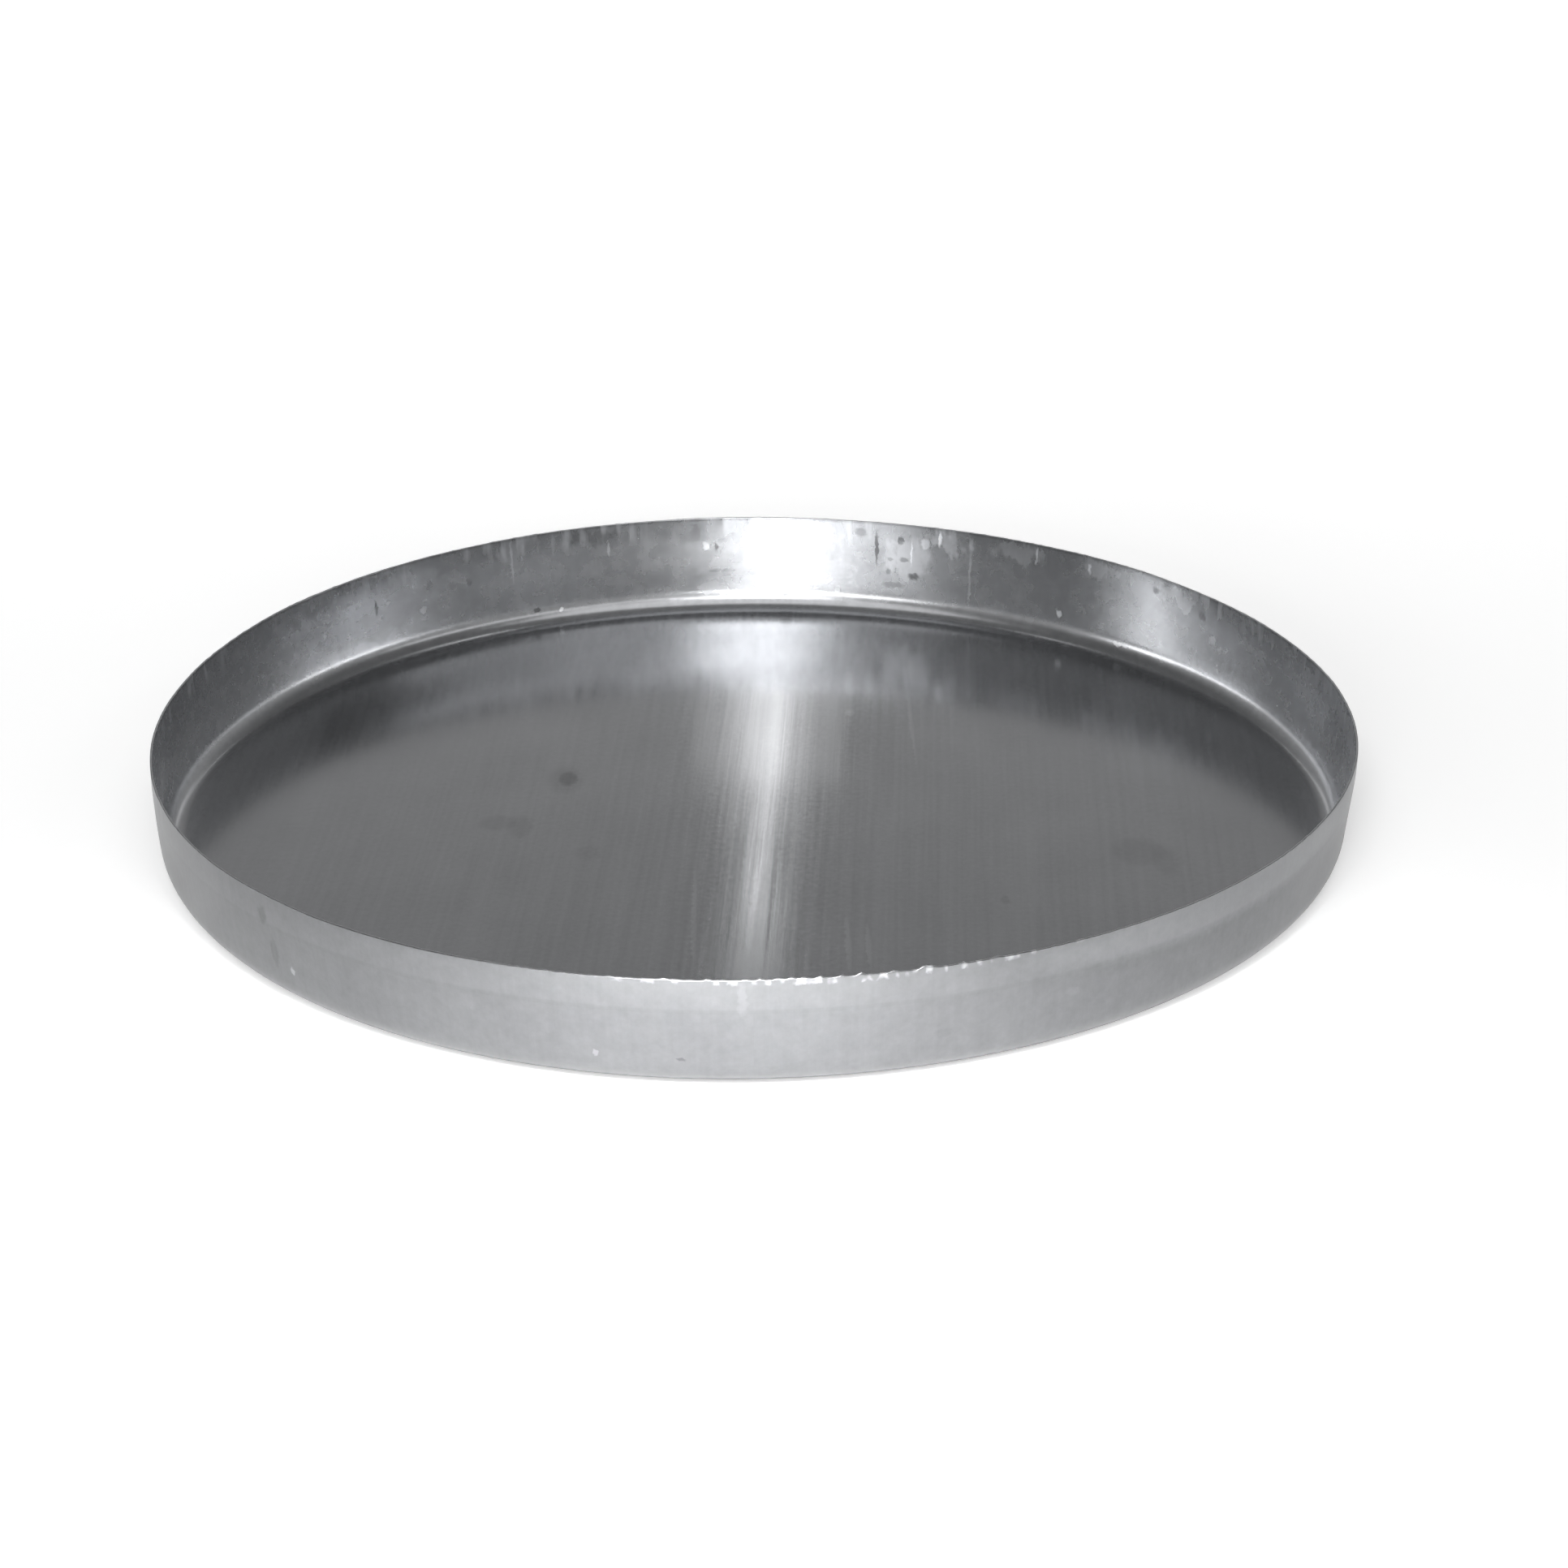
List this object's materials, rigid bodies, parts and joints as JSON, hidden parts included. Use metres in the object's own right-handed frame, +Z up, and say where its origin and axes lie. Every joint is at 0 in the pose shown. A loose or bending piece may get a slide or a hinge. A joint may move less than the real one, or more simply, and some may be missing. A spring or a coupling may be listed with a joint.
{
  "type": "oil drain pan",
  "caption": "Shallow round sheet-steel pan, pressed in one piece, with a flat floor and a low flared wall, for catching drained oil under an engine.",
  "frame": {"origin": "centre of the flat underside, at the height of the surface that the pan stands on", "axes": "+Z up, out of the pan's mouth, along its axis of revolution; -Y towards the side seen nearest in the picture, and the sheet's rolling lines run along Y"},
  "size_m": [0.445, 0.445, 0.039],
  "materials": {
    "steel": "mill finish sheet steel, satin, with fine rolling lines along the floor"
  },
  "bodies": {
    "root": {"pan": "steel"}
  },
  "joints": []
}
